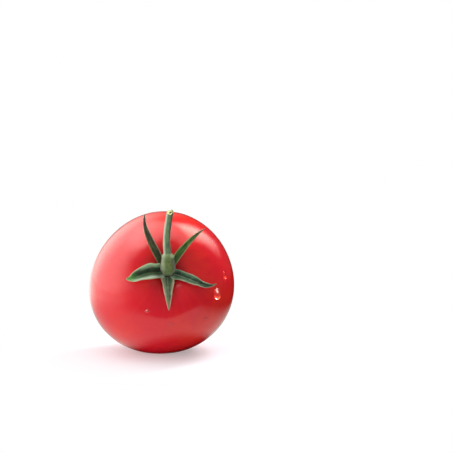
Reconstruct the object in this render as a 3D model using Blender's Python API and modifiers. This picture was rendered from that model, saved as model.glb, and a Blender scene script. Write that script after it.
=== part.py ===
"""A ripe round tomato, picked with its calyx and a length of stem, lying on its side.

Blender 4.5, metres, +Z up. The fruit's own frame has its stem end at +Z. An empty tilts
that frame so that the stem end faces -Y and a little up, and sets the small flat spot that
the fruit rests on at the world origin.
"""

from math import acos, atan2, cos, exp, pi, radians, sin

import bmesh
import bpy
from mathutils import Matrix, Vector

# The fruit
FRUIT_RADIUS = 0.0350
SHOULDER_HEIGHT = 0.0310  # equator to stem end, before the stem cavity is sunk
BLOSSOM_HEIGHT = 0.0315  # equator to blossom end
SQUARENESS = 2.15  # exponent of the half section: 2 is an ellipse, more is boxier
CAVITY_DEPTH = 0.0056
CAVITY_RADIUS = 0.0090
BLOSSOM_DIMPLE = 0.0009
BLOSSOM_DIMPLE_RADIUS = 0.0060
RIB_COUNT = 4
RIB_HEIGHT = 0.0006
RIB_RADIUS = 0.0125  # distance from the axis at which the shoulder ribs stand highest
RIB_HEADING = radians(-50)
# Each row is the number of lobes, their height as a share of the radius and their heading
LOBES = ((2, 0.018, radians(30)), (3, 0.017, radians(-35)))
FRUIT_SEGMENTS, FRUIT_RINGS = 64, 36

# The way it lies
TILT = radians(68)  # from standing on its blossom end
REST_DEPTH = 0.0010  # height of the cap that the rest spot takes off the round skin

# The calyx and stem
GAP = 0.0004  # left between neighbouring pieces
DISC_RADIUS = 0.0043
DISC_HEIGHT = 0.0016  # at the axis
DISC_RIM = 0.0008
DISC_RINGS, DISC_STEPS = 5, 30
BLADE_THICKNESS = 0.0008
BLADE_STEPS, BLADE_STRIPS = 14, 4
BLADE_BASE_SHARE = 0.75  # width of a sepal at its root, as a share of its full width
BLADE_TIP_SHARE = 0.10
BLADE_WIDEST = 0.28  # share of its length at which a sepal is widest
BLADE_TAPER = 1.35  # 1 tapers straight to the tip, more keeps the blade full for longer
STEM_POINTS = 26
STEM_RESOLUTION = 4
CREASE = radians(35)  # edges sharper than this stay sharp in the shading
MERGE = 0.000001

# A sepal runs from the disc out to reach, measured from the fruit's axis. Swerve bends it
# sideways along its whole length and hook bends it near its tip. It clears the skin by lift
# at half length and at the tip. Cup is how far its edges stand above its midrib and roll
# turns it about its midrib.
SEPALS = {
    "sepal_right": dict(
        heading=-26, reach=0.0232, swerve=-0.0006, hook=0.0044, width=0.0052,
        lift=(0.0016, 0.0030), cup=0.0010, roll=-8,
    ),
    "sepal_upper_right": dict(
        heading=55, reach=0.0264, swerve=-0.0038, hook=0.0, width=0.0038,
        lift=(0.0042, 0.0090), cup=0.0009, roll=10,
    ),
    "sepal_upper_left": dict(
        heading=125, reach=0.0272, swerve=-0.0036, hook=-0.0030, width=0.0038,
        lift=(0.0058, 0.0145), cup=0.0009, roll=-14,
    ),
    "sepal_left": dict(
        heading=189, reach=0.0198, swerve=0.0029, hook=-0.0026, width=0.0086,
        lift=(0.0034, 0.0018), cup=0.0018, roll=6,
    ),
    "sepal_lower": dict(
        heading=267, reach=0.0190, swerve=0.0004, hook=0.0002, width=0.0060,
        lift=(0.0014, 0.0026), cup=0.0009, roll=4,
    ),
}
HOOK_POWER = 6  # how late along a sepal the hook sets in

# The stem's line as (distance along it, sideways, up from the axis, out from the disc), and
# its radius against the distance along it
STEM_LINE = (
    (0.0000, 0.0000, 0.0006, 0.0000),
    (0.0055, -0.0002, 0.0018, 0.0053),
    (0.0105, -0.0006, 0.0054, 0.0088),
    (0.0168, -0.0010, 0.0112, 0.0112),
    (0.0226, -0.0006, 0.0168, 0.0127),
    (0.0316, 0.0010, 0.0256, 0.0148),
)
STEM_RADII = (
    (0.0000, 0.0028),
    (0.0030, 0.0035),
    (0.0055, 0.0034),
    (0.0085, 0.0030),
    (0.0105, 0.0027),
    (0.0120, 0.0019),
    (0.0200, 0.0016),
    (0.0316, 0.0016),
)
# The slanting cut that ends the stem passes this far below the end of its line, and faces
# out and up, a little to the left
CUT_BACK = 0.0010
CUT_FACING = (-0.12, 0.50, 0.86)

FINISHES = {
    "skin": dict(colour=(0.62, 0.018, 0.012, 1), roughness=0.20),
    "calyx": dict(colour=(0.060, 0.115, 0.040, 1), roughness=0.60),
    "stem": dict(colour=(0.120, 0.190, 0.060, 1), roughness=0.55),
}


def clear_scene():
    for found in list(bpy.data.objects):
        bpy.data.objects.remove(found)


def new_material(name, colour, roughness):
    material = bpy.data.materials.new(name)
    material.use_nodes = True
    shader = material.node_tree.nodes["Principled BSDF"]
    shader.inputs["Base Color"].default_value = colour
    shader.inputs["Roughness"].default_value = roughness
    shader.inputs["Metallic"].default_value = 0
    return material


def straight_through(rows, at):
    """Reads a table of (distance, value) rows on the straight lines between its rows."""
    for low, high in zip(rows, rows[1:]):
        if at <= high[0]:
            break
    return low[1] + (high[1] - low[1]) * (at - low[0]) / (high[0] - low[0])


def smooth_through(rows, at):
    """Reads a table of (distance, value, ...) rows on a Catmull-Rom curve through its rows."""
    last = len(rows) - 2
    index = next((i for i in range(last) if at <= rows[i + 1][0]), last)
    near = [rows[max(0, min(last + 1, index + step))] for step in (-1, 0, 1, 2)]
    share = (at - near[1][0]) / (near[2][0] - near[1][0])
    weights = (
        -share / 2 + share**2 - share**3 / 2,
        1 - 2.5 * share**2 + 1.5 * share**3,
        share / 2 + 2 * share**2 - 1.5 * share**3,
        -(share**2) / 2 + share**3 / 2,
    )
    return [sum(w * row[k] for w, row in zip(weights, near)) for k in range(1, len(rows[0]))]


def lobe_scale(around):
    return 1 + sum(height * cos(count * (around - heading)) for count, height, heading in LOBES)


def stem_end_relief(radius, around):
    """How far the stem cavity and the shoulder ribs move the skin along the axis."""
    cavity = -CAVITY_DEPTH * exp(-((radius / CAVITY_RADIUS) ** 2))
    spread = (radius / RIB_RADIUS) ** 2
    ribs = RIB_HEIGHT * spread * exp(1 - spread) * cos(RIB_COUNT * (around - RIB_HEADING))
    return cavity + ribs


def skin_height(radius, around):
    """Height of the skin above the equator, on the stem side, at a distance from the axis."""
    share = min(1, radius / (FRUIT_RADIUS * lobe_scale(around)))
    return SHOULDER_HEIGHT * (1 - share**SQUARENESS) ** (1 / SQUARENESS) + stem_end_relief(radius, around)


def skin_point(direction):
    """Where a direction of the unit sphere lies on the skin."""
    polar = acos(max(-1, min(1, direction.z)))
    around = atan2(direction.y, direction.x)
    share = max(0, sin(polar)) ** (2 / SQUARENESS)
    radius = FRUIT_RADIUS * lobe_scale(around) * share
    if direction.z >= 0:
        height = skin_height(radius, around)
    else:
        dimple = BLOSSOM_DIMPLE * exp(-((radius / BLOSSOM_DIMPLE_RADIUS) ** 2))
        height = dimple - BLOSSOM_HEIGHT * abs(cos(polar)) ** (2 / SQUARENESS)
    return Vector((radius * cos(around), radius * sin(around), height))


def place(piece, collection, material, frame):
    """Gives a piece its material, and moves it into the collection and the tilted frame."""
    for old in list(piece.users_collection):
        old.objects.unlink(piece)
    collection.objects.link(piece)
    piece.data.materials.append(material)
    piece.parent = frame


def cut_and_cap(shape, point, facing):
    """Takes off what lies past a plane, and closes the cut with one flat face."""
    everything = shape.verts[:] + shape.edges[:] + shape.faces[:]
    cut = bmesh.ops.bisect_plane(
        shape, geom=everything, dist=MERGE, plane_co=point, plane_no=facing, clear_outer=True
    )
    rim = [item for item in cut["geom_cut"] if isinstance(item, bmesh.types.BMEdge)]
    bmesh.ops.contextual_create(shape, geom=rim)
    bmesh.ops.recalc_face_normals(shape, faces=shape.faces)


def make_fruit(tilt):
    """The fruit as one solid, and where the frame has to stand so that it rests at the origin."""
    bpy.ops.mesh.primitive_uv_sphere_add(segments=FRUIT_SEGMENTS, ring_count=FRUIT_RINGS, radius=1)
    fruit = bpy.context.object
    fruit.name = fruit.data.name = "fruit"
    shape = bmesh.new()
    shape.from_mesh(fruit.data)
    for vertex in shape.verts:
        vertex.co = skin_point(vertex.co.normalized())
    lowest = min((tilt @ vertex.co for vertex in shape.verts), key=lambda point: point.z)
    stand = Vector((-lowest.x, -lowest.y, -lowest.z - REST_DEPTH))
    back = tilt.inverted()
    cut_and_cap(shape, back @ -stand, back @ Vector((0, 0, -1)))
    shape.to_mesh(fruit.data)
    shape.free()
    fruit.data.shade_smooth()
    fruit.data.set_sharp_from_angle(angle=CREASE)
    return fruit, stand


def make_disc():
    """The small green disc that the sepals spring from, bedded in the stem cavity."""
    radii = [DISC_RADIUS * ring / DISC_RINGS for ring in range(DISC_RINGS + 1)]
    floor = [(radius, skin_height(radius, 0) + GAP) for radius in radii]
    rim_radius, rim_floor = floor[-1]
    top = floor[0][1] + DISC_HEIGHT
    flat_radius = max(radius for _, radius in STEM_RADII)
    outline = [(0, top), (flat_radius, top), (rim_radius, rim_floor + DISC_RIM)] + floor[::-1]
    profile = bpy.data.meshes.new("calyx_disc")
    profile.from_pydata([(x, 0, z) for x, z in outline], [(i, i + 1) for i in range(len(outline) - 1)], [])
    disc = bpy.data.objects.new("calyx_disc", profile)
    screw = disc.modifiers.new("turn", "SCREW")
    screw.steps = screw.render_steps = DISC_STEPS
    screw.use_merge_vertices = True
    screw.merge_threshold = MERGE
    return disc


def blade_width(share):
    """A sepal's width along its length, as a share of its full width."""
    swell = sin(pi / 2 * min(1, share / BLADE_WIDEST))
    body = BLADE_BASE_SHARE + (1 - BLADE_BASE_SHARE) * swell
    taper = max(0, (share - BLADE_WIDEST) / (1 - BLADE_WIDEST))
    return body * (1 - (1 - BLADE_TIP_SHARE) * taper**BLADE_TAPER)


def midrib_point(sepal, share):
    start = DISC_RADIUS + GAP
    radius = start + (sepal["reach"] - start) * share
    heading = radians(sepal["heading"])
    side = sepal["swerve"] * share**2 + sepal["hook"] * share**HOOK_POWER
    x = radius * cos(heading) - side * sin(heading)
    y = radius * sin(heading) + side * cos(heading)
    middle, tip = sepal["lift"]
    lift = (4 * middle - tip) * share + (2 * tip - 4 * middle) * share**2
    clear = GAP + BLADE_THICKNESS / 2
    skin = skin_height(Vector((x, y)).length, atan2(y, x))
    return Vector((x, y, skin + clear + lift))


def make_sepal(name, sepal):
    """A tapering, cupped blade: a grid laid along its midrib, and thickened."""
    bpy.ops.mesh.primitive_grid_add(x_subdivisions=BLADE_STEPS, y_subdivisions=BLADE_STRIPS, size=1)
    blade = bpy.context.object
    blade.name = blade.data.name = name
    reach = 0.5 / BLADE_STEPS
    for vertex in blade.data.vertices:
        share, across = vertex.co.x + 0.5, 2 * vertex.co.y
        centre = midrib_point(sepal, share)
        low, high = max(0, share - reach), min(1, share + reach)
        along = (midrib_point(sepal, high) - midrib_point(sepal, low)).normalized()
        radial = Vector((centre.x, centre.y, 0)).normalized()
        side = Vector((-radial.y, radial.x, 0))
        side = (side - side.dot(along) * along).normalized()
        up = along.cross(side)
        turn = Matrix.Rotation(radians(sepal["roll"]) * share, 3, along)
        half = sepal["width"] * blade_width(share) / 2
        offset = side * half * across + up * sepal["cup"] * across**2 * blade_width(share)
        vertex.co = centre + turn @ offset
    blade.data.shade_smooth()
    thick = blade.modifiers.new("thickness", "SOLIDIFY")
    thick.thickness = BLADE_THICKNESS
    thick.offset = 0
    return blade


def make_stem(collection):
    """The stem: a thick part next to the fruit, a knuckle, and a thinner part to the cut end."""
    foot = skin_height(0, 0) + GAP + DISC_HEIGHT + GAP
    line = bpy.data.curves.new("stem_line", "CURVE")
    line.dimensions = "3D"
    line.bevel_depth = 1
    line.bevel_resolution = STEM_RESOLUTION
    line.use_fill_caps = True
    spline = line.splines.new("POLY")
    spline.points.add(STEM_POINTS - 1)
    length = STEM_LINE[-1][0]
    for index, point in enumerate(spline.points):
        at = length * index / (STEM_POINTS - 1)
        side, up, out = smooth_through(STEM_LINE, at)
        point.co = (side, up, foot + out, 1)
        point.radius = straight_through(STEM_RADII, at)
    guide = bpy.data.objects.new("stem_line", line)
    collection.objects.link(guide)
    tube = bpy.data.meshes.new_from_object(guide.evaluated_get(bpy.context.evaluated_depsgraph_get()))
    end = spline.points[-1].co.xyz - Vector((0, CUT_BACK, 0))
    bpy.data.objects.remove(guide)
    shape = bmesh.new()
    shape.from_mesh(tube)
    bmesh.ops.remove_doubles(shape, verts=shape.verts, dist=MERGE)
    cut_and_cap(shape, end, Vector(CUT_FACING))
    tube.name = "stem"
    shape.to_mesh(tube)
    shape.free()
    tube.shade_smooth()
    tube.set_sharp_from_angle(angle=CREASE)
    return bpy.data.objects.new("stem", tube)


def build():
    clear_scene()
    collection = bpy.data.collections.new("tomato")
    bpy.context.scene.collection.children.link(collection)
    skin, leaf, stalk = [new_material(name, **finish) for name, finish in FINISHES.items()]
    tilt = Matrix.Rotation(TILT, 3, "X")
    frame = bpy.data.objects.new("tomato_frame", None)
    collection.objects.link(frame)
    frame.rotation_euler = (TILT, 0, 0)
    fruit, frame.location = make_fruit(tilt)
    place(fruit, collection, skin, frame)
    place(make_disc(), collection, leaf, frame)
    for name, sepal in SEPALS.items():
        place(make_sepal(name, sepal), collection, leaf, frame)
    place(make_stem(collection), collection, stalk, frame)


build()
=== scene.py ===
import random
from math import acos, atan2, cos, exp, pi, radians, sin, sqrt, tau

import bmesh
import bpy
from mathutils import Matrix, Vector, noise


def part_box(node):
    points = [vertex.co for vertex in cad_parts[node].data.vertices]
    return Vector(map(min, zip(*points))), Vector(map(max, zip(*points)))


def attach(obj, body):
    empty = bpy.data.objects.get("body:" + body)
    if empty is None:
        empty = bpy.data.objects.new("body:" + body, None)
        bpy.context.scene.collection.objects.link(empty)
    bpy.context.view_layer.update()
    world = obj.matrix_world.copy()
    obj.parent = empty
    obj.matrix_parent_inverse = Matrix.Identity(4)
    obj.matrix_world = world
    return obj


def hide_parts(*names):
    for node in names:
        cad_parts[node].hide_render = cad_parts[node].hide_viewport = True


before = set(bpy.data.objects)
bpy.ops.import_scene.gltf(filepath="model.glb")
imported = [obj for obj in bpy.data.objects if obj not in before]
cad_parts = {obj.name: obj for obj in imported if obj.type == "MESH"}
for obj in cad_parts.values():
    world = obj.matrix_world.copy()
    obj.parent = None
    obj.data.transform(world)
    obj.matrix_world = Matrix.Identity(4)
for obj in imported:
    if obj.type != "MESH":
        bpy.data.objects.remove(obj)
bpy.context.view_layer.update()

scene = bpy.context.scene


# helpers for the finishes

# a display colour from 0 to 255, as the linear colour that a socket takes
def tone(red, green, blue):
    return tuple((value / 255) ** 2.2 for value in (red, green, blue)) + (1,)


# one socket of a node tree; sums on wires add Math nodes
class Wire:
    def __init__(self, paint, socket):
        self.paint, self.socket = paint, socket

    def __add__(self, other):
        return self.paint.maths("ADD", self, other)

    def __sub__(self, other):
        return self.paint.maths("SUBTRACT", self, other)

    def __rsub__(self, other):
        return self.paint.maths("SUBTRACT", other, self)

    def __mul__(self, other):
        return self.paint.maths("MULTIPLY", self, other)

    __radd__ = __add__
    __rmul__ = __mul__


# one node tree, and the nodes that are added to it
class Paint:
    def __init__(self, tree):
        self.tree = tree

    # settings come first, because some of them change which sockets a node has
    def node(self, kind, settings=None, sockets=None, output=0):
        made = self.tree.nodes.new("ShaderNode" + kind)
        for name, value in (settings or {}).items():
            setattr(made, name, value)
        self.fill(made, sockets or {})
        return Wire(self, made.outputs[output])

    def fill(self, node, sockets):
        for name, value in sockets.items():
            self.feed(node.inputs[name], value)

    def feed(self, socket, value):
        if isinstance(value, Wire):
            self.tree.links.new(value.socket, socket)
        else:
            socket.default_value = value

    def maths(self, operation, first, second):
        return self.node("Math", {"operation": operation}, {0: first, 1: second})

    def place(self):
        return self.node("TexCoord", output="Object")

    def cloud(self, scale, detail=3, roughness=0.5, vector=None):
        sockets = {"Scale": scale, "Detail": detail, "Roughness": roughness, "Vector": vector or self.place()}
        return self.node("TexNoise", None, sockets)

    def step(self, value, low, high):
        sockets = {"Value": value, "From Min": low, "From Max": high}
        return self.node("MapRange", {"interpolation_type": "SMOOTHSTEP"}, sockets)

    def blend(self, share, first, second):
        return self.node("Mix", {"data_type": "RGBA"}, {0: share, 6: first, 7: second}, output=2)

    def vectors(self, operation, first, second, output=0):
        return self.node("VectorMath", {"operation": operation}, {0: first, 1: second}, output)

    def dot(self, vector, other):
        return self.vectors("DOT_PRODUCT", vector, other, output="Value")

    def length(self, vector):
        return self.node("VectorMath", {"operation": "LENGTH"}, {0: vector}, output="Value")

    def heading(self, vector):
        return self.node("VectorMath", {"operation": "NORMALIZE"}, {0: vector})

    # a soft patch of light: the way it lies, the edges between which it rises, and its brightness
    def patch(self, way, aim, edges, strength=1):
        return self.step(self.dot(way, Vector(aim).normalized()), *edges) * strength

    def scale(self, colour, share):
        return self.node("VectorMath", {"operation": "SCALE"}, {0: colour, "Scale": share})

    def marked(self, name):
        return self.node("Attribute", {"attribute_name": name}, output="Fac")

    def bump(self, height, distance):
        return self.node("Bump", None, {"Height": height, "Distance": distance})


def newFinish(name):
    material = bpy.data.materials.new(name)
    material.use_nodes = True
    paint = Paint(material.node_tree)
    shader = material.node_tree.nodes["Principled BSDF"]
    return material, paint, shader


# helpers for the shapes

# a closed skin over rings of points, each end drawn in to one point; marks are numbers kept for each point
def loft(name, rings, ends, marks=None):
    around = len(rings[0])
    points = [point for ring in rings for point in ring] + list(ends)
    faces = []
    for row in range(len(rings) - 1):
        for step in range(around):
            here, there = row * around + step, row * around + (step + 1) % around
            faces.append((here, there, there + around, here + around))
    first, last = len(points) - 2, (len(rings) - 1) * around
    for step in range(around):
        faces.append((first, (step + 1) % around, step))
        faces.append((first + 1, last + step, last + (step + 1) % around))
    mesh = bpy.data.meshes.new(name)
    mesh.from_pydata(points, [], faces)
    for mark, values in (marks or {}).items():
        mesh.attributes.new(mark, "FLOAT", "POINT").data.foreach_set("value", values)
    shape = bmesh.new()
    shape.from_mesh(mesh)
    bmesh.ops.recalc_face_normals(shape, faces=shape.faces)
    shape.to_mesh(mesh)
    shape.free()
    mesh.shade_smooth()
    return mesh


def addPiece(mesh, finish, slot, *stoodFor):
    piece = bpy.data.objects.new(mesh.name, mesh)
    scene.collection.objects.link(piece)
    piece.matrix_world = fruitPlace
    mesh.materials.append(finish)
    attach(piece, "root")
    if stoodFor:
        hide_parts(*stoodFor)
    return piece


# reads rows of (distance, value, ...) on a smooth curve through the rows
def readRows(rows, at):
    last = len(rows) - 2
    index = next((i for i in range(last) if at <= rows[i + 1][0]), last)
    near = [rows[max(0, min(last + 1, index + step))] for step in (-1, 0, 1, 2)]
    share = (at - near[1][0]) / (near[2][0] - near[1][0])
    weights = (
        -share / 2 + share**2 - share**3 / 2,
        1 - 2.5 * share**2 + 1.5 * share**3,
        share / 2 + 2 * share**2 - 1.5 * share**3,
        -(share**2) / 2 + share**3 / 2,
    )
    return [sum(weight * row[k] for weight, row in zip(weights, near)) for k in range(1, len(rows[0]))]


# the fruit: its own frame has the stem end at +Z and is tilted onto its side

fruitShape = dict(
    radius=0.0350,
    shoulderHeight=0.0310,  # equator to stem end, before the stem cavity is sunk
    blossomHeight=0.0315,
    squareness=2.15,  # of the half section: 2 is an ellipse, more is boxier
    cavityDepth=0.0056,
    cavityRadius=0.0090,
    dimpleDepth=0.0009,
    dimpleRadius=0.0060,
    ribCount=4,
    ribHeight=0.0006,
    ribRadius=0.0125,
    ribHeading=-50,
    lobes=((2, 0.018, 30), (3, 0.017, -35)),  # count, share of the radius, heading
    tilt=68,  # from standing on its blossom end
    pleatHeight=0.00010,  # fine creases that run out of the stem cavity
    pleatRadius=0.012,
    pleatSpread=0.007,
    pleatScale=4.0,
    lumpHeight=0.00008,
    lumpScales=(3.1, 7.3),  # broad lumps, and small ones half as high
    lumpStart=(4.2, 0, 0),
    around=288,
    rings=170,
    restSoftness=0.0004,  # how gently the skin turns into the flat spot
)


def lobeScale(around):
    lobes = fruitShape["lobes"]
    return 1 + sum(height * cos(count * (around - radians(heading))) for count, height, heading in lobes)


def skinHeight(radius, around):
    shape = fruitShape
    share = min(1, radius / (shape["radius"] * lobeScale(around)))
    dome = shape["shoulderHeight"] * (1 - share ** shape["squareness"]) ** (1 / shape["squareness"])
    cavity = shape["cavityDepth"] * exp(-((radius / shape["cavityRadius"]) ** 2))
    spread = (radius / shape["ribRadius"]) ** 2
    turn = cos(shape["ribCount"] * (around - radians(shape["ribHeading"])))
    ribs = shape["ribHeight"] * spread * exp(1 - spread) * turn
    return dome - cavity + ribs


def skinPoint(polar, around):
    shape = fruitShape
    share = max(0, sin(polar)) ** (2 / shape["squareness"])
    radius = shape["radius"] * lobeScale(around) * share
    if polar <= pi / 2:
        height = skinHeight(radius, around)
    else:
        dimple = shape["dimpleDepth"] * exp(-((radius / shape["dimpleRadius"]) ** 2))
        height = dimple - shape["blossomHeight"] * abs(cos(polar)) ** (2 / shape["squareness"])
    return Vector((radius * cos(around), radius * sin(around), height))


def fineSkinPoint(polar, around):
    shape = fruitShape
    point = skinPoint(polar, around)
    out = point.normalized()
    broad, small = shape["lumpScales"]
    lumps = noise.noise(out * broad + Vector(shape["lumpStart"])) + 0.5 * noise.noise(out * small)
    pleats = 0
    if polar <= pi / 2:
        spread = (Vector((point.x, point.y)).length - shape["pleatRadius"]) / shape["pleatSpread"]
        pleats = noise.noise(Vector((cos(around), sin(around), 0)) * shape["pleatScale"]) * exp(-(spread**2))
    return point + out * (lumps * shape["lumpHeight"] + pleats * shape["pleatHeight"])


tiltTurn = Matrix.Rotation(radians(fruitShape["tilt"]), 3, "X")


# where the fruit's frame stands, from the box of the CAD fruit
def standFruit():
    steps = 90
    turns = [tau * step / steps for step in range(steps)]
    points = [tiltTurn @ skinPoint(pi * step / steps, turn) for step in range(steps + 1) for turn in turns]
    low = Vector(min(point[k] for point in points) for k in range(3))
    high = Vector(max(point[k] for point in points) for k in range(3))
    cadLow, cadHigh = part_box("fruit")
    middle = (cadLow + cadHigh - low - high) / 2
    return Matrix.Translation((middle.x, middle.y, cadHigh.z - high.z)) @ tiltTurn.to_4x4()


fruitPlace = standFruit()
print("the fruit's frame stands at", [round(value, 5) for value in fruitPlace.translation])


# the skin never goes below the surface it rests on, and turns into it softly
def settle(point):
    soft = fruitShape["restSoftness"]
    world = fruitPlace @ point
    world.z = (world.z + sqrt(world.z**2 + soft**2)) / 2
    return fruitPlace.inverted() @ world


def makeFruit():
    shape = fruitShape
    turns = [tau * step / shape["around"] for step in range(shape["around"])]
    rings = []
    for row in range(1, shape["rings"]):
        polar = pi * row / shape["rings"]
        rings.append([settle(fineSkinPoint(polar, turn)) for turn in turns])
    ends = (fineSkinPoint(0, 0), fineSkinPoint(pi, 0))
    return loft("fruit_skin", rings, ends)


# pairs are the edges of a soft step, and shares say how strongly a colour is laid on
skinLook = dict(
    red=(0.70, 0.009, 0.022, 1),
    warmRed=(0.80, 0.024, 0.016, 1),
    deepRed=(0.58, 0.006, 0.028, 1),
    patchScale=34,
    patchEdges=(0.42, 0.66),
    deepScale=71.4,
    deepEdges=(0.52, 0.74),
    deepShare=0.30,
    veinScale=9,
    veinEdges=(0.50, 0.64),
    veinStart=(0.004, 0.012),  # distances from the axis
    veinStop=(0.018, 0.034),
    veinSide=(0.0, 0.004),  # heights over the equator
    veinShare=0.22,
    fleck=(0.86, 0.16, 0.08, 1),
    fleckScale=900,
    fleckEdges=(0.06, 0.20),
    fleckPatchScale=140,
    fleckPatchEdges=(0.45, 0.62),
    fleckShare=0.16,
    scar=(0.20, 0.10, 0.045, 1),
    scarRadius=(0.0009, 0.0017),
    scarRagged=0.0012,
    scarSide=(-0.028, -0.024),  # heights under the equator
    roughness=0.22,
    roughnessSpread=0.10,
    scarRoughness=0.5,
    swellScale=120,
    poreScale=1500,
    poreShare=0.05,
    scarHeight=0.6,
    bumpDistance=0.00014,
    coat=0.75,
    coatRoughness=0.09,
    scatter=0.12,  # light that sinks into the skin and comes out beside
    scatterRadius=(1.0, 0.25, 0.12),
    scatterScale=0.004,
)


def skinFinish():
    look = skinLook
    material, paint, shader = newFinish("tomato_skin")
    place = paint.place()
    height = paint.node("SeparateXYZ", None, {0: place}, output="Z")
    flat = paint.vectors("MULTIPLY", place, (1, 1, 0))
    radius = paint.length(flat)
    patches = paint.step(paint.cloud(look["patchScale"], 4, 0.55), *look["patchEdges"])
    colour = paint.blend(patches, look["red"], look["warmRed"])
    depths = paint.step(paint.cloud(look["deepScale"], 3, 0.5), *look["deepEdges"])
    colour = paint.blend(depths * look["deepShare"], colour, look["deepRed"])
    # paler veins that run out from the stem end
    veins = paint.step(paint.cloud(look["veinScale"], 4, 0.6, paint.heading(flat)), *look["veinEdges"])
    reach = paint.step(radius, *look["veinStart"]) * (1 - paint.step(radius, *look["veinStop"]))
    reach = reach * paint.step(height, *look["veinSide"])
    colour = paint.blend(veins * reach * look["veinShare"], colour, look["warmRed"])
    # tiny flecks, which come in patches
    grid = {"Vector": place, "Scale": look["fleckScale"]}
    cells = paint.node("TexVoronoi", {"feature": "F1"}, grid, output="Distance")
    fleckPatches = paint.step(paint.cloud(look["fleckPatchScale"], 2), *look["fleckPatchEdges"])
    flecks = (1 - paint.step(cells, *look["fleckEdges"])) * fleckPatches
    colour = paint.blend(flecks * look["fleckShare"], colour, look["fleck"])
    # the corky scar where the flower was
    ragged = radius + (paint.cloud(900, 2) - 0.5) * look["scarRagged"]
    scar = (1 - paint.step(ragged, *look["scarRadius"])) * (1 - paint.step(height, *look["scarSide"]))
    dull = (paint.cloud(220, 3) - 0.5) * look["roughnessSpread"] + look["roughness"]
    pores = paint.cloud(look["poreScale"], 2, 0.5) * look["poreShare"]
    swells = paint.cloud(look["swellScale"], 3, 0.5)
    paint.fill(shader, {
        "Base Color": paint.blend(scar, colour, look["scar"]),
        "Roughness": dull + scar * look["scarRoughness"],
        "Normal": paint.bump(swells + pores + scar * look["scarHeight"], look["bumpDistance"]),
        "Coat Weight": look["coat"],
        "Coat Roughness": look["coatRoughness"],
        "Subsurface Weight": look["scatter"],
        "Subsurface Radius": look["scatterRadius"],
        "Subsurface Scale": look["scatterScale"],
    })
    return material


fruit = addPiece(makeFruit(), skinFinish(), "skin", "fruit")
print("fruit made:", len(fruit.data.polygons), "faces")


# the sepals

bladeShape = dict(
    rootRadius=0.0020,
    discRadius=0.0047,  # where the blade leaves the disc
    rootLift=0.0012,
    rootFade=0.0025,
    thickness=0.0008,
    edge=0.00022,
    grooveDepth=0.00030,
    grooveWidth=0.13,  # widths are shares of half the blade
    pleatHeight=0.00007,
    pleatTurn=14,
    ridgeHeight=0.00035,
    ridgeWidth=0.20,
    unevenWidth=0.12,
    lumpHeight=0.0003,
    waveTurn=19,
    waveSlant=1.3,
    clearance=0.0008,
    tipShare=0.07,
    tipLength=0.0004,
    stations=64,
    strips=14,
    arcSteps=12,
)
# heading, fold and roll in degrees; reach from the axis; lift off the skin at half length and at
# the tip; swerve and hook bend the blade sideways, hook only near the tip; fold is how steep the
# halves stand at the root, the middle and the tip; curl is how far each margin turns back out
# colours: one half of each blade takes a paler tone, a painted light, or on the two upper sepals a darker
# tone, a painted shade; the other half is darkened by a painted shade
sepals = {
    "sepal_right": dict(
        heading=-26, reach=0.0232, swerve=-0.0006, hook=0.0044, width=0.0058, lift=(0.0016, 0.0030),
        fold=(30, 50, 35), curl=(0.5, 0.9), roll=-8, wave=0.00035, root=0.92, widest=0.30, taper=1.8, seed=3,
        green=tone(86, 128, 88), dark=tone(34, 62, 46), tip=tone(54, 84, 58),
        edgeTone=tone(168, 176, 146), halfLight=tone(88, 122, 90), halfLightSide=-1, shade=0.35, tipFrom=0.45,
        litLip=tone(88, 126, 94), litLipShare=0.6, ribShare=0.60,
    ),
    "sepal_upper_right": dict(
        heading=55, reach=0.0264, swerve=-0.0038, hook=0.0, width=0.0042, lift=(0.0042, 0.0090),
        fold=(35, 45, 30), curl=(0.6, 0.4), roll=10, wave=0.00025, root=0.80, widest=0.30, taper=1.35, seed=5,
        green=tone(98, 156, 48), dark=tone(52, 96, 34), tip=tone(98, 76, 66),
        edgeTone=tone(170, 166, 124), halfLight=tone(74, 104, 50), halfLightSide=-1, shade=0.2, tipFrom=0.50,
        litLip=tone(112, 150, 70), litLipShare=0.4, ribShare=0.35,
    ),
    "sepal_upper_left": dict(
        heading=125, reach=0.0272, swerve=-0.0036, hook=-0.0030, width=0.0042, lift=(0.0058, 0.0145),
        fold=(30, 40, 35), curl=(0.4, 0.4), roll=-14, wave=0.00030, root=0.90, widest=0.38, taper=1.8, seed=8,
        green=tone(80, 102, 52), dark=tone(50, 60, 36), tip=tone(72, 62, 46),
        edgeTone=tone(178, 156, 130), halfLight=tone(66, 50, 42), halfLightSide=-1, shade=0.0, tipFrom=0.40,
        litLip=tone(96, 112, 64), litLipShare=0.5, ribShare=0.25,
    ),
    "sepal_left": dict(
        heading=189, reach=0.0198, swerve=0.0029, hook=-0.0026, width=0.0108, lift=(0.0034, 0.0018),
        fold=(45, 60, 40), curl=(1.1, 0.35), roll=6, wave=0.00040, root=0.72, widest=0.40, taper=1.6, seed=13,
        green=tone(70, 116, 60), dark=tone(30, 54, 34), tip=tone(74, 146, 44),
        edgeTone=tone(156, 170, 130), halfLight=tone(176, 194, 166), halfLightSide=1, shade=0.75, tipFrom=0.66,
        litLip=tone(150, 178, 138), litLipShare=0.85, ribShare=0.30,
    ),
    "sepal_lower": dict(
        heading=267, reach=0.0190, swerve=0.0004, hook=0.0002, width=0.0068, lift=(0.0014, 0.0026),
        fold=(25, 38, 25), curl=(0.5, 0.5), roll=4, wave=0.00025, root=0.95, widest=0.22, taper=1.15, seed=21,
        green=tone(106, 140, 96), dark=tone(52, 84, 58), tip=tone(160, 150, 116),
        edgeTone=tone(222, 190, 160), halfLight=tone(142, 158, 124), halfLightSide=-1, shade=0.45, tipFrom=0.60,
        litLip=tone(190, 176, 140), litLipShare=0.3, ribShare=0.35,
    ),
}


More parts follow.
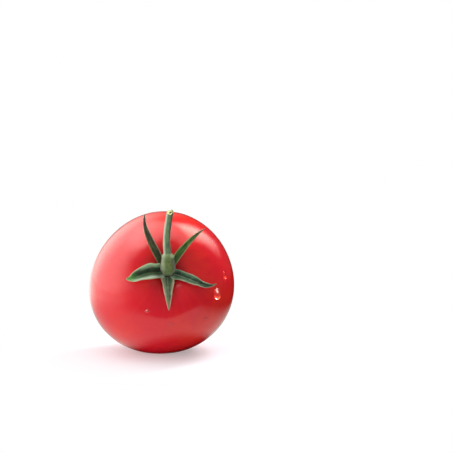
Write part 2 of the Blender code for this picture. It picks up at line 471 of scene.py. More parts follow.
def midrib(sepal, share):
    shape = bladeShape
    radius = shape["rootRadius"] + (sepal["reach"] - shape["rootRadius"]) * share
    free = max(0, (radius - shape["discRadius"]) / (sepal["reach"] - shape["discRadius"]))
    heading = radians(sepal["heading"])
    aside = sepal["swerve"] * free**2 + sepal["hook"] * free**6
    x = radius * cos(heading) - aside * sin(heading)
    y = radius * sin(heading) + aside * cos(heading)
    middle, tip = sepal["lift"]
    lift = (4 * middle - tip) * free + (2 * tip - 4 * middle) * free**2
    root = shape["rootLift"] * exp(-(radius - shape["rootRadius"]) / shape["rootFade"])
    return Vector((x, y, skinHeight(Vector((x, y)).length, atan2(y, x)) + shape["clearance"] + lift + root))


def bladeWidth(sepal, share):
    shape = bladeShape
    swell = sin(pi / 2 * min(1, share / sepal["widest"]))
    taper = max(0, (share - sepal["widest"]) / (1 - sepal["widest"])) ** sepal["taper"]
    return (sepal["root"] + (1 - sepal["root"]) * swell) * (1 - (1 - shape["tipShare"]) * taper)


# the cross section of a blade as (sideways, up, slope) for each lane from one edge to the other
def bladeSection(sepal, share, lanes):
    half = sepal["width"] * bladeWidth(sepal, share) / 2
    root, middle, tip = sepal["fold"]
    bend = (4 * middle - 3 * root - tip) * share + (2 * root + 2 * tip - 4 * middle) * share**2
    fold = radians(root + bend)
    steps = bladeShape["arcSteps"]
    section = []
    for lane in lanes:
        curl = sepal["curl"][0 if lane < 0 else 1]
        x = z = 0
        for step in range(steps):
            slope = fold * sin(pi / 2 * (step + 0.5) / steps * abs(lane) * (1 + curl))
            x += cos(slope) * half * lane / steps
            z += sin(slope) * half * abs(lane) / steps
        slope = fold * sin(pi / 2 * lane * (1 + curl))
        section.append((x, z, slope))
    return section


# one ring of points round the blade; share runs from root to tip, side is 1 on top and -1 below
def bladeRing(sepal, share, lanes):
    shape = bladeShape
    low, high = max(0, share - 0.01), min(1, share + 0.01)
    along = (midrib(sepal, high) - midrib(sepal, low)).normalized()
    centre = midrib(sepal, share)
    radial = Vector((centre.x, centre.y, 0)).normalized()
    left = Vector((-radial.y, radial.x, 0))
    left = (left - left.dot(along) * along).normalized()
    up = along.cross(left)
    turn = Matrix.Rotation(radians(sepal["roll"]) * share, 3, along)
    slim = bladeWidth(sepal, share)
    seed = sepal["seed"]
    ring = []
    for (across, side), (x, z, slope) in zip(lanes, bladeSection(sepal, share, [lane[0] for lane in lanes])):
        x *= 1 + shape["unevenWidth"] * noise.noise(Vector((share * 5, seed, across)))
        z += sepal["wave"] * across**2 * sin(share * shape["waveTurn"] + across * shape["waveSlant"] + seed)
        z += shape["lumpHeight"] * noise.noise(Vector((share * 9, across * 2.5, seed)))
        thick = shape["edge"] + (shape["thickness"] * (1.3 - 0.6 * share) - shape["edge"]) * (1 - across**2)
        x -= side * thick / 2 * sin(slope)
        z += side * thick / 2 * cos(slope)
        if side > 0:
            z -= shape["grooveDepth"] * slim * exp(-((across / shape["grooveWidth"]) ** 2))
            z += shape["pleatHeight"] * slim * cos(across * shape["pleatTurn"]) * (1 - across**2)
        else:
            z -= shape["ridgeHeight"] * slim * exp(-((across / shape["ridgeWidth"]) ** 2))
        ring.append(centre + turn @ (left * x + up * z))
    return ring


def makeBlade(name, sepal):
    shape = bladeShape
    lanes = [(2 * i / shape["strips"] - 1, 1) for i in range(shape["strips"] + 1)]
    lanes += [(1 - 2 * (i + 0.5) / shape["strips"], -1) for i in range(shape["strips"])]
    rings, along, across = [], [], []
    for row in range(shape["stations"] + 1):
        share = row / shape["stations"]
        rings.append(bladeRing(sepal, share, lanes))
        along += [share] * len(lanes)
        across += [lane[0] for lane in lanes]
    tipWay = (midrib(sepal, 1) - midrib(sepal, 0.97)).normalized()
    ends = (midrib(sepal, 0), midrib(sepal, 1) + tipWay * shape["tipLength"])
    return loft(name + "_blade", rings, ends, {"along": along + [0, 1], "across": across + [0, 0]})


# edges on the half blade run from 0 at the midrib to 1 at the margin
leafLook = dict(
    blotchScale=420,
    blotchEdges=(0.36, 0.66),
    shadeEdges=(0.0, 0.25),
    halfLightEdges=(0.05, 0.45),
    halfLightShare=0.85,
    besideFrom=(0.04, 0.14),
    besideTo=(0.30, 0.62),
    besideShare=0.45,
    ribEdges=(0.02, 0.10),
    tipTo=0.97,
    tipShare=0.85,
    marginEdges=(0.76, 0.95),
    marginRagged=0.25,
    marginShare=0.85,
    speckleScale=2300,
    speckleEdges=(0.60, 0.74),
    speckleHighlightShare=0.35,
    litLipEdges=(0.50, 0.80),
    litLipEnd=(0.45, 0.75),  # along the blade
    veinRun=11,
    veinSlant=3,
    veinHeight=0.25,
    fuzzScale=2600,
    fuzzHeight=0.6,
    blotchHeight=0.7,
    bumpDistance=0.00022,
    roughness=0.46,
    roughnessSpread=0.22,
    scatter=0.10,
    scatterRadius=(0.4, 1.0, 0.2),
    scatterScale=0.0008,
    sheen=0.12,
    sheenRoughness=0.5,
)


def leafFinish(name, sepal):
    look = leafLook
    material, paint, shader = newFinish(name + "_green")
    along, across = paint.marked("along"), paint.marked("across")
    out = paint.node("Math", {"operation": "ABSOLUTE"}, {0: across})
    half = across * sepal["halfLightSide"]
    otherHalf = half * -1
    blotch = paint.cloud(look["blotchScale"], 4, 0.6)
    colour = paint.blend(paint.step(blotch, *look["blotchEdges"]), sepal["dark"], sepal["green"])
    # painted shade on one half of the blade, and painted light or shade on the other half
    colour = paint.blend(paint.step(otherHalf, *look["shadeEdges"]) * sepal["shade"], colour, sepal["dark"])
    colour = paint.blend(paint.step(half, *look["halfLightEdges"]) * look["halfLightShare"], colour, sepal["halfLight"])
    # darker beside the midrib, paler on it
    beside = paint.step(out, *look["besideFrom"]) * (1 - paint.step(out, *look["besideTo"]))
    colour = paint.blend(beside * look["besideShare"], colour, sepal["dark"])
    rib = 1 - paint.step(out, *look["ribEdges"])
    colour = paint.blend(rib * sepal["ribShare"], colour, sepal["edgeTone"])
    tip = paint.step(along, sepal["tipFrom"], look["tipTo"])
    colour = paint.blend(tip * look["tipShare"], colour, sepal["tip"])
    ragged = out + (paint.cloud(700, 2) - 0.5) * look["marginRagged"]
    margin = paint.step(ragged, *look["marginEdges"]) * look["marginShare"]
    colour = paint.blend(margin, colour, sepal["edgeTone"])
    # pale speckles over the blade: painted highlights
    speckleHighlights = paint.step(paint.cloud(look["speckleScale"], 2, 0.6), *look["speckleEdges"])
    colour = paint.blend(speckleHighlights * look["speckleHighlightShare"], colour, sepal["edgeTone"])
    # painted light on the outer margin of the shaded half, towards the root
    litLip = paint.step(otherHalf, *look["litLipEdges"]) * (1 - paint.step(along, *look["litLipEnd"]))
    colour = paint.blend(litLip * sepal["litLipShare"], colour, sepal["litLip"])
    # veins that leave the midrib at a slant
    run = along * look["veinRun"] - out * look["veinSlant"]
    slant = paint.node("CombineXYZ", None, {"X": run, "Y": out, "Z": 0.0})
    settings = {"wave_type": "BANDS", "bands_direction": "X", "wave_profile": "SIN"}
    wobble = {"Vector": slant, "Scale": 0.5, "Distortion": 5.0, "Detail": 3.0, "Detail Scale": 1.2}
    veins = paint.node("TexWave", settings, wobble)
    fuzz = paint.cloud(look["fuzzScale"], 3, 0.7)
    height = veins * look["veinHeight"] + fuzz * look["fuzzHeight"] + blotch * look["blotchHeight"]
    paint.fill(shader, {
        "Base Color": colour,
        "Normal": paint.bump(height, look["bumpDistance"]),
        "Roughness": look["roughness"] + blotch * look["roughnessSpread"],
        "Subsurface Weight": look["scatter"],
        "Subsurface Radius": look["scatterRadius"],
        "Subsurface Scale": look["scatterScale"],
        "Sheen Weight": look["sheen"],
        "Sheen Roughness": look["sheenRoughness"],
    })
    return material


blades = {}
for name, sepal in sepals.items():
    blades[name] = addPiece(makeBlade(name, sepal), leafFinish(name, sepal), "calyx", name)
print("sepals made:", ", ".join(blades))


# the disc under the stem, lobed where the sepals leave it

discShape = dict(
    radius=0.0047,
    lobe=0.0007,
    lobeSharpness=14,
    height=0.0019,
    crown=2.4,  # more is flatter on top
    lumpHeight=0.00022,
    sunk=0.0005,
    rings=12,
    around=90,
)


def makeDisc():
    shape = discShape
    headings = [radians(sepal["heading"]) for sepal in sepals.values()]
    rings = []
    for row in range(1, shape["rings"] + 1):
        share = row / shape["rings"]
        ring = []
        for step in range(shape["around"]):
            around = tau * step / shape["around"]
            nearest = max(cos(around - heading) for heading in headings)
            lobe = shape["lobe"] * (2 * max(0, nearest) ** shape["lobeSharpness"] - 1)
            radius = (shape["radius"] + lobe) * share
            lumps = shape["lumpHeight"] * noise.noise(Vector((cos(around), sin(around), share)) * 3)
            height = shape["height"] * (1 - share ** shape["crown"]) + lumps * (1 - share)
            height += skinHeight(radius, around)
            ring.append(Vector((radius * cos(around), radius * sin(around), height)))
        rings.append(ring)
    rings.append([Vector((point.x * 0.97, point.y * 0.97, point.z - shape["sunk"])) for point in rings[-1]])
    middle = skinHeight(0, 0)
    ends = (Vector((0, 0, middle + shape["height"])), Vector((0, 0, middle - shape["sunk"])))
    return loft("calyx_centre", rings, ends)


discLook = dict(dark=tone(36, 50, 34), green=tone(84, 108, 64), edges=(0.35, 0.65), bumpDistance=0.0002)


def discFinish():
    look = discLook
    material, paint, shader = newFinish("calyx_centre_green")
    blotch = paint.cloud(520, 4, 0.6)
    paint.fill(shader, {
        "Base Color": paint.blend(paint.step(blotch, *look["edges"]), look["dark"], look["green"]),
        "Normal": paint.bump(paint.cloud(2400, 3, 0.7), look["bumpDistance"]),
        "Roughness": 0.5 + blotch * 0.2,
    })
    return material


disc = addPiece(makeDisc(), discFinish(), "calyx", "calyx_disc")
print("calyx centre made")


# the stem: rows give the distance along it, then sideways, up from the axis and out from its foot

stemShape = dict(
    line=(
        (0.0000, 0.0000, 0.0006, 0.0000),
        (0.0055, -0.0002, 0.0018, 0.0053),
        (0.0105, -0.0006, 0.0054, 0.0088),
        (0.0168, -0.0010, 0.0112, 0.0112),
        (0.0226, -0.0006, 0.0168, 0.0127),
        (0.0316, 0.0010, 0.0256, 0.0148),
    ),
    radii=(
        (0.0000, 0.0030),
        (0.0030, 0.0035),
        (0.0055, 0.0034),
        (0.0085, 0.0029),
        (0.0102, 0.0025),
        (0.0116, 0.0020),
        (0.0132, 0.0017),
        (0.0220, 0.0015),
        (0.0316, 0.0015),
    ),
    foot=0.0016,  # above the bottom of the stem cavity
    footFlare=0.0007,
    sunk=0.0012,
    knuckle=0.0106,
    knuckleHeight=0.00034,
    knuckleWidth=0.0008,
    knuckleUneven=0.9,
    # heading, distance along the stem, height
    lumps=((-0.5, 0.0100, 0.0005), (3.6, 0.0112, 0.0005), (-2.2, 0.0092, 0.0003)),
    lumpTurn=0.5,
    lumpLength=0.0007,
    grooveDepth=0.00022,
    grooveAfter=0.0014,  # past the knuckle
    grooveWidth=0.0005,
    ribs=6,
    ribHeight=0.00011,
    ribTwist=60,
    grainHeight=0.00012,
    cutBack=0.0010,
    cutFacing=(-0.12, 0.50, 0.86),
    cutFrom=0.78,  # the rings lean into the cut from this share of the length
    cutRings=((0.93, -0.0001), (0.80, 0.0001), (0.55, 0.0002), (0.34, 0.0002), (0.24, 0.0008), (0.1, 0.0011)),
    cutRough=0.00012,
    pithDepth=0.0012,
    tornHeight=0.0011,
    tornHeading=0.9,
    # the heading of the side of the stem that is painted lit; the far side is painted in shade
    litSide=3.3,
    stations=150,
    around=48,
)


def stemCentre(at):
    aside, up, out = readRows(stemShape["line"], at)
    return Vector((aside, up, skinHeight(0, 0) + stemShape["foot"] + out))


# how uneven the stem is, by turns round it and by metres along it
def stemNoise(at, around, turns, metres):
    return noise.noise(Vector((cos(around) * turns, sin(around) * turns, at * metres)))


def stemPoint(at, around):
    shape = stemShape
    along = (stemCentre(at + 0.0003) - stemCentre(at - 0.0003)).normalized()
    left = (Vector((1, 0, 0)) - along.x * along).normalized()
    up = along.cross(left)
    radius = readRows(shape["radii"], max(0, at))[0]
    radius += shape["footFlare"] * exp(-max(0, at) / shape["footFlare"])
    rise = exp(-(((at - shape["knuckle"]) / shape["knuckleWidth"]) ** 2))
    radius += shape["knuckleHeight"] * rise * (1 + shape["knuckleUneven"] * stemNoise(at, around, 1.6, 500))
    for lumpAround, lumpAt, height in shape["lumps"]:
        apart = acos(max(-1, min(1, cos(around - lumpAround))))
        beyond = (at - lumpAt) / shape["lumpLength"]
        radius += height * exp(-((apart / shape["lumpTurn"]) ** 2) - beyond**2)
    past = at - shape["knuckle"] - shape["grooveAfter"]
    radius -= shape["grooveDepth"] * exp(-((past / shape["grooveWidth"]) ** 2))
    radius += shape["ribHeight"] * cos(shape["ribs"] * around + at * shape["ribTwist"])
    radius += shape["grainHeight"] * stemNoise(at, around, 2, 260)
    return stemCentre(at) + (left * cos(around) + up * sin(around)) * radius


def makeStem():
    shape = stemShape
    length = shape["line"][-1][0]
    cutWay = Vector(shape["cutFacing"]).normalized()
    onCut = stemCentre(length) - Vector((0, shape["cutBack"], 0))
    endWay = (stemCentre(length) - stemCentre(length - 0.001)).normalized()
    rings, along, lightFacing = [], [], []
    for row in range(shape["stations"] + 1):
        share = row / shape["stations"]
        ease = max(0, (share - shape["cutFrom"]) / (1 - shape["cutFrom"])) ** 1.5
        ring = []
        for step in range(shape["around"]):
            around = tau * step / shape["around"]
            offset = stemPoint(length, around)
            short = (offset - onCut).dot(cutWay) / endWay.dot(cutWay)
            torn = shape["tornHeight"] * max(0, cos(around - shape["tornHeading"])) ** 6
            at = -shape["sunk"] + (length + shape["sunk"]) * share + (torn - short) * ease
            ring.append(stemPoint(at, around))
            along.append(at / length)
            # 1 on the side painted lit, -1 on the side painted in shade
            lightFacing.append(cos(around - shape["litSide"]))
        rings.append(ring)
    # the cut face: a rim, a soft ring and a dark hollow pith
    rim = rings[-1]
    middle = sum(rim, Vector()) / shape["around"]
    for size, depth in shape["cutRings"]:
        ring = []
        for point in rim:
            rough = shape["cutRough"] * noise.noise(point * 900)
            ring.append(middle + (point - middle) * size - cutWay * (depth + rough))
        rings.append(ring)
        along += [2 - size] * shape["around"]
        lightFacing += [0] * shape["around"]
    ends = (stemCentre(-shape["sunk"]), middle - cutWay * shape["pithDepth"])
    return loft("stem_stalk", rings, ends, {"along": along + [0, 2], "lightFacing": lightFacing + [0, 0]})


# along runs from 0 at the foot to 1 at the cut rim and on to 2 at the middle of the cut face
stemLook = dict(
    lower=tone(100, 126, 58),
    lowerDark=tone(74, 98, 46),
    lowerEdges=(0.32, 0.62),
    upper=tone(104, 132, 86),
    upperDark=tone(72, 102, 68),
    upperEdges=(0.36, 0.64),
    upperFrom=(0.33, 0.38),
    brown=tone(110, 112, 60),
    brownEdges=(0.40, 0.65),
    brownFrom=(0.10, 0.30),
    brownShare=0.6,
    # the pale tone paints light on the lit side of the stem, and the dark tone below paints shade on the far
    # side
    pale=tone(182, 192, 164),
    litUpper=(0.35, 0.95),
    litUpperShare=0.7,
    litLower=(0.40, 0.95),
    litLowerShare=0.35,
    paintedShade=tone(40, 68, 50),
    paintedShadeUpper=(0.1, 0.8),
    paintedShadeLower=(0.2, 0.9),
    paintedShadeShare=0.7,
    knuckle=tone(140, 158, 112),
    knuckleFrom=(0.30, 0.335),
    knuckleTo=(0.355, 0.40),
    knuckleEdges=(0.3, 0.6),
    knuckleShare=0.75,
    # a painted shade at the foot, where the stem sinks into the calyx
    foot=tone(34, 48, 38),
    footShadeEnd=(0.0, 0.13),
    rim=tone(150, 170, 96),
    rimFrom=(0.985, 1.0),
    flesh=tone(222, 222, 158),
    fleshFrom=(1.04, 1.20),
    pith=tone(104, 118, 62),
    pithFrom=(1.58, 1.72),
    cutRagged=0.2,
    grainHeight=0.7,
    fuzzHeight=0.5,
    bumpDistance=0.0002,
    roughness=0.48,
    roughnessSpread=0.2,
    sheen=0.25,
    sheenRoughness=0.5,
)


def stemFinish():
    look = stemLook
    material, paint, shader = newFinish("stem_green")
    along, lightFacing = paint.marked("along"), paint.marked("lightFacing")
    shadeFacing = lightFacing * -1
    grain = paint.cloud(1500, 3, 0.6, paint.vectors("MULTIPLY", paint.place(), (1, 0.25, 0.6)))
    blotch = paint.cloud(380, 3, 0.55)
    mottle = paint.step(paint.cloud(700, 3, 0.6), *look["lowerEdges"])
    lower = paint.blend(mottle, look["lowerDark"], look["lower"])
    brown = paint.step(blotch, *look["brownEdges"]) * paint.step(along, *look["brownFrom"])
    lower = paint.blend(brown * look["brownShare"], lower, look["brown"])
    # painted light on the lit side and painted shade on the far side
    lower = paint.blend(paint.step(lightFacing, *look["litLower"]) * look["litLowerShare"], lower, look["pale"])
    lower = paint.blend(paint.step(shadeFacing, *look["paintedShadeLower"]) * look["paintedShadeShare"], lower, look["paintedShade"])
    upper = paint.blend(paint.step(grain, *look["upperEdges"]), look["upperDark"], look["upper"])
    # painted light on the lit side and painted shade on the far side
    upper = paint.blend(paint.step(lightFacing, *look["litUpper"]) * look["litUpperShare"], upper, look["pale"])
    upper = paint.blend(paint.step(shadeFacing, *look["paintedShadeUpper"]) * look["paintedShadeShare"], upper, look["paintedShade"])
    colour = paint.blend(paint.step(along, *look["upperFrom"]), lower, upper)
    near = paint.step(along, *look["knuckleFrom"]) * (1 - paint.step(along, *look["knuckleTo"]))
    near = near * paint.step(blotch, *look["knuckleEdges"])
    colour = paint.blend(near * look["knuckleShare"], colour, look["knuckle"])
    # painted shade at the foot of the stem
    colour = paint.blend(1 - paint.step(along, *look["footShadeEnd"]), colour, look["foot"])
    colour = paint.blend(paint.step(along, *look["rimFrom"]), colour, look["rim"])
    ragged = along + (blotch - 0.5) * look["cutRagged"]
    colour = paint.blend(paint.step(ragged, *look["fleshFrom"]), colour, look["flesh"])
    colour = paint.blend(paint.step(ragged, *look["pithFrom"]), colour, look["pith"])
    height = grain * look["grainHeight"] + paint.cloud(2600, 3, 0.7) * look["fuzzHeight"]
    paint.fill(shader, {
        "Base Color": colour,
        "Normal": paint.bump(height, look["bumpDistance"]),
        "Roughness": look["roughness"] + blotch * look["roughnessSpread"],
        "Sheen Weight": look["sheen"],
        "Sheen Roughness": look["sheenRoughness"],
    })
    return material


stem = addPiece(makeStem(), stemFinish(), "stem", "stem")
print("stem made:", len(stem.data.polygons), "faces")


# fine pale hairs on the stem and the calyx

hairShape = dict(
    length=(0.00025, 0.00065),
    width=0.00003,
    lean=0.5,
    sunk=0.00005,
    onStem=1100,
    stemSeed=11,
    onEachSepal=380,
    sepalSeed=12,
    pale=tone(196, 196, 160),
    warm=tone(224, 206, 182),
)


def growHairs(name, hosts, count, seed):
    shape = hairShape
    dice = random.Random(seed)
    points, faces = [], []
    for host in hosts:
        spots = list(host.data.polygons)
        for face in dice.choices(spots, [face.area for face in spots], k=count):
            corners = [host.data.vertices[i].co for i in face.vertices]
            weights = [dice.random() + 0.01 for _ in corners]
            root = sum((corner * weight for corner, weight in zip(corners, weights)), Vector()) / sum(weights)
            lean = Vector([dice.uniform(-1, 1) for _ in range(3)]) * shape["lean"]
            way = (face.normal + lean).normalized()
            side = way.orthogonal().normalized()
            other = way.cross(side)
            base = len(points)
            for k in range(3):
                turned = side * cos(tau * k / 3) + other * sin(tau * k / 3)
                points.append(root + turned * shape["width"] - way * shape["sunk"])
            points.append(root + way * dice.uniform(*shape["length"]))
            faces += [(base + k, base + (k + 1) % 3, base + 3) for k in range(3)]
            faces.append((base + 2, base + 1, base))
    mesh = bpy.data.meshes.new(name)
    mesh.from_pydata(points, [], faces)
    mesh.shade_smooth()
    return mesh


def hairFinish():
    material, paint, shader = newFinish("fine_hairs")
    share = paint.step(paint.cloud(900, 2), 0.4, 0.6)
    colour = paint.blend(share, hairShape["pale"], hairShape["warm"])
    paint.fill(shader, {"Base Color": colour, "Roughness": 0.5})
    return material


hairLook = hairFinish()
stemHairs = growHairs("stem_hairs", [stem], hairShape["onStem"], hairShape["stemSeed"])
addPiece(stemHairs, hairLook, "stem")
calyx = [*blades.values(), disc]
calyxHairs = growHairs("calyx_hairs", calyx, hairShape["onEachSepal"], hairShape["sepalSeed"])
addPiece(calyxHairs, hairLook, "calyx")
print("hairs grown")


# drops of water on the skin: polar and heading in degrees on the fruit, width and length in metres

drops = (
    dict(polar=45.0, heading=-22.4, width=0.0040, length=0.0054, paintedGlow=0, paintedGlint=0),
    dict(polar=51.6, heading=-0.8, width=0.0019, length=0.0038, paintedGlow=0, paintedGlint=0.4),
    dict(polar=34.8, heading=-119.5, width=0.0024, length=0.0016, paintedGlow=0.4, paintedGlint=0.12),
    dict(polar=44, heading=-87.5, width=0.0018, length=0.0011, paintedGlow=0.6, paintedGlint=0.5),
    dict(polar=52.5, heading=-50, width=0.0015, length=0.0012, paintedGlow=0.6, paintedGlint=0.5),
)
dropShape = dict(
    height=0.30,  # share of the width
    under=0.25,  # how deep it goes below the skin, as a share of the height
    sag=0.25,  # how far its middle slips down, as a share of the length
    rings=16,
    around=36,
    # where the painted highlight sits on the drop
    paintedGlintAt=(0.30, -0.68),  # sideways, and towards the low end
)


# a drop's glow setting moves the painted warm glow closer to the low end, and its glint setting makes the
# painted highlight smaller
def makeDrop(name, drop):
    polar, around = radians(drop["polar"]), radians(drop["heading"])
    foot = skinPoint(polar, around)
    east = skinPoint(polar, around + 0.01) - skinPoint(polar, around - 0.01)
    south = skinPoint(polar + 0.01, around) - skinPoint(polar - 0.01, around)
    out = south.cross(east).normalized()
    out = out if out.dot(foot) > 0 else -out
    down = fruitPlace.to_3x3().inverted() @ Vector((0, 0, -1))
    down = (down - down.dot(out) * out).normalized()
    side = down.cross(out)
    height, sag = drop["width"] * dropShape["height"], drop["length"] * dropShape["sag"]
    under = height * dropShape["under"]
    rings, low, glintSpot = [], [], []
    for row in range(1, dropShape["rings"] + 1):
        lift = pi * row / (dropShape["rings"] + 1)
        above = lift < pi / 2
        ring = []
        for step in range(dropShape["around"]):
            angle = tau * step / dropShape["around"]
            across, along = sin(lift) * sin(angle), sin(lift) * cos(angle)
            x = drop["width"] / 2 * across
            y = drop["length"] / 2 * along + sag * (cos(lift) + 1) / 2
            ring.append(foot + side * x + down * y + out * cos(lift) * (height if above else under))
            low.append(along - drop["paintedGlow"])
            apart = (Vector((across, along)) - Vector(dropShape["paintedGlintAt"])).length
            glintSpot.append(apart + drop["paintedGlint"] if above else 1)
        rings.append(ring)
    ends = (foot + down * sag + out * height, foot - out * under)
    return loft(name, rings, ends, {"low": low + [0, 0], "glintSpot": glintSpot + [1, 1]})


# colours of the painted glow and the painted highlight, which the drops emit
waterLook = dict(
    paintedGlow=(0.62, 0.12, 0.05, 1),
    paintedGlowEdges=(-0.1, 0.75),
    paintedGlint=(0.9, 0.72, 0.66, 1),
    paintedGlintEdges=(0.14, 0.36),
)


# a painted warm glow, emitted at the low end of a drop, stands in for the light that gathers there, and a
# painted highlight, also emitted, sits near its top
def waterFinish():
    look = waterLook
    material, paint, shader = newFinish("clear_water")
    paintedGlow = paint.blend(paint.step(paint.marked("low"), *look["paintedGlowEdges"]), (0, 0, 0, 1), look["paintedGlow"])
    paintedGlint = 1 - paint.step(paint.marked("glintSpot"), *look["paintedGlintEdges"])
    paint.fill(shader, {
        "Emission Color": paint.blend(paintedGlint, paintedGlow, look["paintedGlint"]),
        "Emission Strength": 1.0,
        "Normal": paint.bump(paint.cloud(400, 1), 0.00003),
        "Base Color": (1, 1, 1, 1),
        "Roughness": 0.02,
        "Transmission Weight": 1.0,
        "IOR": 1.33,
        "Coat Weight": 0.6,
        "Coat IOR": 1.8,
        "Coat Roughness": 0.02,
    })
    return material


water = waterFinish()
for number, drop in enumerate(drops, 1):
    bead = addPiece(makeDrop("water_drop_%d" % number, drop), water, "water")
    bead.visible_shadow = False
print("drops placed:", len(drops))


# the studio: a pale floor, a soft white wall on the left, a tall strip behind on the right

studio = dict(
    backdrop=1.0,
    bounce=0.46,  # how bright the far floor is for the light that it sends back up
    leftBounce=0.62,  # the same, more on the left
    leftWay=(-0.9, -0.43, 0),
    softFill=0.42,
    # patches of light: the way each lies, the edges between which it rises, and its brightness
    softRight=((1, 0, 0), (-0.2, 0.9), 0.35),  # this one is the share of the soft fill that is missing
    softWall=((-0.93, -0.05, 0.22), (0.30, 0.98), 1.60),
    softFront=((0.50, -0.60, 0.62), (0.1, 1.0), 0.36),
    stripPlace=(0.47, 0.35, 0.58),
    stripSize=(0.20, 0.60),
    stripPower=7.8,
    topPlace=(-0.32, 0.16, 1.05),
    topSize=1.0,
    topPower=4.3,
    floorSize=6.0,  # from the middle to each side
    floorTones=(tone(246, 238, 246), tone(250, 243, 250)),
    floorLeft=(0, 0.8),
    whiteShare=0.33,  # how much the floor glows by itself near the fruit, which softens the shadow
    whiteFrom=(0.020, 0.070),  # the floor turns into the white of the backdrop between these distances
)
# what the glossy skin mirrors, as brightness: soft patches of light round the studio, and the table
mirror = dict(
    fill=0.04,
    wall=((-0.85, 0.35, 0.40), (0.36, 0.92), 1.80),
    overhead=((-0.15, 0.02, 0.99), (0.78, 1.0), 1.8),
    back=((-0.35, 0.80, 0.48), (0.74, 1.0), 0.42),
    strip=4.8,
    stripSide=(-0.617, 0.787, 0.0),  # along the width of the strip
    stripNear=(-0.42, -0.08),
    stripFar=(-0.02, 0.24),
    stripFoot=(0.22, 0.82),
    stripHead=(0.88, 0.96),
    stripRight=(0, 0.3),
    wallTint=(1.0, 0.975, 0.90, 1),
    stripTint=(1.0, 0.98, 0.84, 1),
    tableSize=1.2,
    tableHeight=-0.0005,
    tableFront=0.0650,
    tableEdge=(-0.06, -1.0, 0),  # the way out over the table's front edge
    tableRight=(0.040, 0.092),
    # a painted shadow of the fruit on the table's glow: its shape, where it sits and its edges
    tableShadow=(1.22, 1.0, 1.0),  # the fruit's own shadow on it is this much narrower than deep
    shadowAside=(0.005, 0.0, 0.0),
    tableShadowEdges=(0.0215, 0.0345),
    table=0.56,
    tableBlur=0.6,  # how fast the table's front edge gets softer to the left
    tableBlurFrom=0.01,
    tableBlurLeast=0.003,
    left=0.84,
    leftWay=(-0.9, 0.43, 0),
    leftFrom=(0.15, 0.85),
    leftBeyond=(0.05, 0.20),
)


def lightWorld():
    world = bpy.data.worlds.new("studio")
    scene.world = world
    world.use_nodes = True
    paint = Paint(world.node_tree)
    way = paint.node("TexCoord", output="Generated")
    side = paint.dot(way, mirror["stripSide"])
    height = paint.dot(way, (0, 0, 1))
    strip = paint.step(side, *mirror["stripNear"]) * (1 - paint.step(side, *mirror["stripFar"]))
    strip = strip * paint.step(height, *mirror["stripFoot"]) * (1 - paint.step(height, *mirror["stripHead"]))
    strip = strip * paint.patch(way, (1, 0, 0), mirror["stripRight"])
    mirrored = strip * mirror["strip"] + mirror["fill"]
    for name in ("wall", "overhead", "back"):
        mirrored = mirrored + paint.patch(way, *mirror[name])
    soft = (1 - paint.patch(way, *studio["softRight"])) * studio["softFill"]
    for name in ("softWall", "softFront"):
        soft = soft + paint.patch(way, *studio[name])
    glossy = paint.node("LightPath", output="Is Glossy Ray")
    for kind in ("Is Transmission Ray", "Is Singular Ray"):
        glossy = paint.maths("MAXIMUM", glossy, paint.node("LightPath", output=kind))
    seen = paint.node("LightPath", output="Is Camera Ray")
    tint = paint.blend(strip, mirror["wallTint"], mirror["stripTint"])
    colour = paint.blend(glossy, (1, 1, 1, 1), tint)
    strength = seen * studio["backdrop"] + (1 - seen) * (glossy * mirrored + (1 - glossy) * soft)
    paint.fill(world.node_tree.nodes["Background"], {"Color": paint.scale(colour, strength)})


def addLamp(name, place, target, sizes, power):
    lamp = bpy.data.lights.new(name, "AREA")
    lamp.shape = "RECTANGLE"
    lamp.size, lamp.size_y = sizes
    lamp.energy = power
    holder = bpy.data.objects.new(name, lamp)
    scene.collection.objects.link(holder)
    holder.location = place
    holder.rotation_euler = (Vector(target) - Vector(place)).to_track_quat("-Z", "Y").to_euler()
    holder.visible_glossy = False


# a flat square sheet under the fruit
def addSheet(name, half, height, finish):
    mesh = bpy.data.meshes.new(name)
    corners = [(-half, -half, height), (half, -half, height), (half, half, height), (-half, half, height)]
    mesh.from_pydata(corners, [], [(0, 1, 2, 3)])
    mesh.materials.append(finish)
    sheet = bpy.data.objects.new(name, mesh)
    scene.collection.objects.link(sheet)
    return sheet


def floorFinish():
    material, paint, shader = newFinish("pale_floor")
    grain = paint.cloud(60, 3)
    paint.fill(shader, {
        "Base Color": paint.blend(grain, *studio["floorTones"]),
        "Roughness": 0.5 + grain * 0.1,
        "Specular IOR Level": 0.2,
    })
    place = paint.place()
    seen = paint.node("LightPath", output="Is Camera Ray")
    left = paint.step(paint.dot(paint.heading(place), studio["leftWay"]), *studio["floorLeft"])
    bounce = left * studio["leftBounce"] + studio["bounce"]
    strength = seen * studio["backdrop"] + (1 - seen) * bounce
    white = paint.node("Emission", None, {"Color": strength})
    share = paint.step(paint.length(place), *studio["whiteFrom"])
    share = share * (1 - studio["whiteShare"]) + studio["whiteShare"]
    mixed = paint.node("MixShader", None, {0: share, 1: Wire(paint, shader.outputs[0]), 2: white})
    paint.fill(material.node_tree.nodes["Material Output"], {"Surface": mixed})
    return material
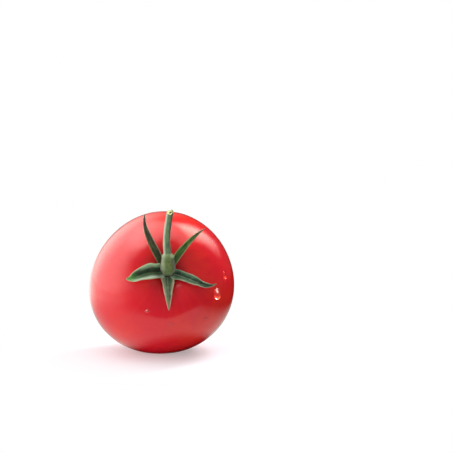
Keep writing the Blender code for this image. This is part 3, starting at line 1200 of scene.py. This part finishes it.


# what the glossy skin mirrors of the table: bright up to its front edge, brighter to the left, and dim under
# the fruit, where the fruit's shadow is painted on it
def tableFinish():
    material = bpy.data.materials.new("table_glow")
    material.use_nodes = True
    paint = Paint(material.node_tree)
    place = paint.place()
    front = mirror["tableFront"]
    leftward = paint.maths("MAXIMUM", paint.dot(place, (-1, 0, 0)) - mirror["tableBlurFrom"], 0)
    blur = leftward * mirror["tableBlur"] + mirror["tableBlurLeast"]
    onTable = 1 - paint.step(paint.dot(place, mirror["tableEdge"]), front - blur, front + blur)
    onTable = onTable * (1 - paint.step(paint.dot(place, (1, 0, 0)), *mirror["tableRight"]))
    # a painted shadow, darker under the fruit
    aside = paint.vectors("SUBTRACT", place, mirror["shadowAside"])
    under = paint.length(paint.vectors("MULTIPLY", aside, mirror["tableShadow"]))
    lit = onTable * paint.step(under, *mirror["tableShadowEdges"]) * mirror["table"]
    left = paint.step(paint.dot(paint.heading(place), mirror["leftWay"]), *mirror["leftFrom"])
    strength = lit + left * paint.step(paint.length(place), *mirror["leftBeyond"]) * mirror["left"]
    paintedGlow = paint.node("Emission", None, {"Color": paint.scale(mirror["wallTint"][:3], strength)})
    paint.fill(material.node_tree.nodes["Material Output"], {"Surface": paintedGlow})
    return material


lightWorld()
middle = fruitPlace.translation
addLamp("strip_light", studio["stripPlace"], middle, studio["stripSize"], studio["stripPower"])
addLamp("top_light", studio["topPlace"], middle, (studio["topSize"], studio["topSize"]), studio["topPower"])
floor = addSheet("floor", studio["floorSize"], 0, floorFinish())
floor.visible_glossy = False
table = addSheet("table_glow", mirror["tableSize"], mirror["tableHeight"], tableFinish())
table.visible_camera = table.visible_diffuse = table.visible_shadow = table.visible_transmission = False
scene.view_settings.view_transform = "Standard"
print("studio lit")


# the camera: a long lens, a little above the fruit, with the fruit low and left of the middle

cameraView = dict(azimuth=-6, elevation=10, distance=0.75, lens=122, aside=2.44, above=2.12)


def placeCamera():
    view = cameraView
    data = bpy.data.cameras.new("camera")
    data.sensor_width, data.lens, data.clip_start = 36, view["lens"], 0.01
    camera = bpy.data.objects.new("camera", data)
    scene.collection.objects.link(camera)
    azimuth, elevation = radians(view["azimuth"]), radians(view["elevation"])
    back = Vector((sin(azimuth) * cos(elevation), -cos(azimuth) * cos(elevation), sin(elevation)))
    camera.location = middle + back * view["distance"]
    straight = (-back).to_track_quat("-Z", "Y").to_matrix()
    aside = Matrix.Rotation(-radians(view["aside"]), 3, "Z")
    above = Matrix.Rotation(radians(view["above"]), 3, "X")
    camera.rotation_euler = (aside @ straight @ above).to_euler()
    scene.camera = camera


placeCamera()
print("camera placed")
